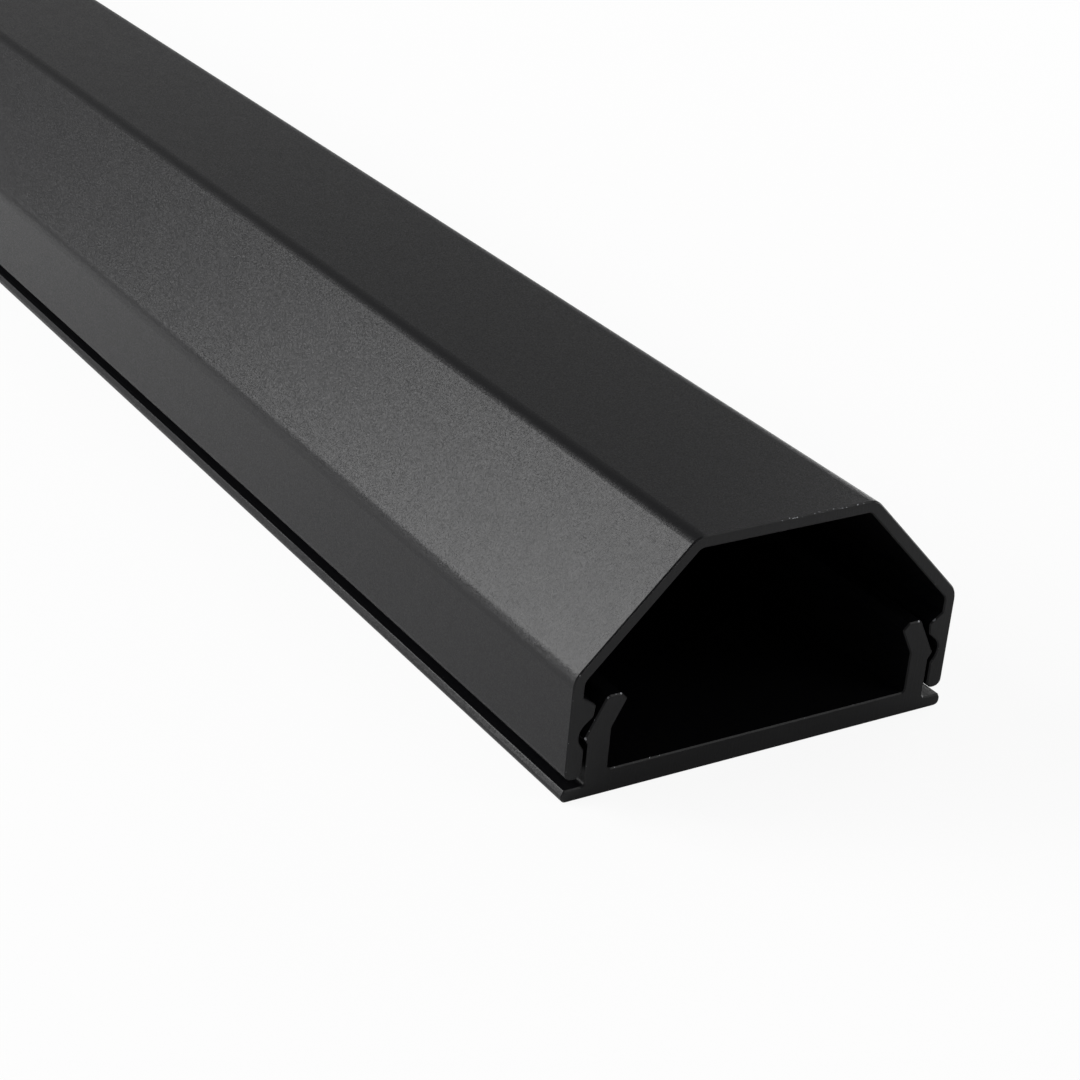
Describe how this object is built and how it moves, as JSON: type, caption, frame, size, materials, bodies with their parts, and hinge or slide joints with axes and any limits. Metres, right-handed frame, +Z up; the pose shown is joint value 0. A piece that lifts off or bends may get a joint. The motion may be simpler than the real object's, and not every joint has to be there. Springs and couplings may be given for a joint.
{
  "type": "two-piece aluminium cable cover",
  "caption": "Trapezoidal snap-fit aluminium cable cover on a flat base plate with bent legs, a straight surface raceway for cables.",
  "frame": {"origin": "middle of the base's underside, halfway along the length", "axes": "+X along the length towards the end that the picture shows, +Y across the width, +Z up from the wall towards the cover's flat top"},
  "size_m": [0.5, 0.033, 0.0183],
  "materials": {
    "cover_aluminium": "black anodised over a finely blasted surface, satin to matt, with a soft broad sheen",
    "base_aluminium": "black anodised over a finely blasted surface, satin to matt"
  },
  "bodies": {
    "base": {"base": "base_aluminium"},
    "cover": {"cover": "cover_aluminium"}
  },
  "joints": [
    {"name": "cover_slide", "type": "slide", "parent": "base", "child": "cover", "axis": [1, 0, 0], "range_m": [-0.5, 0.5]}
  ]
}
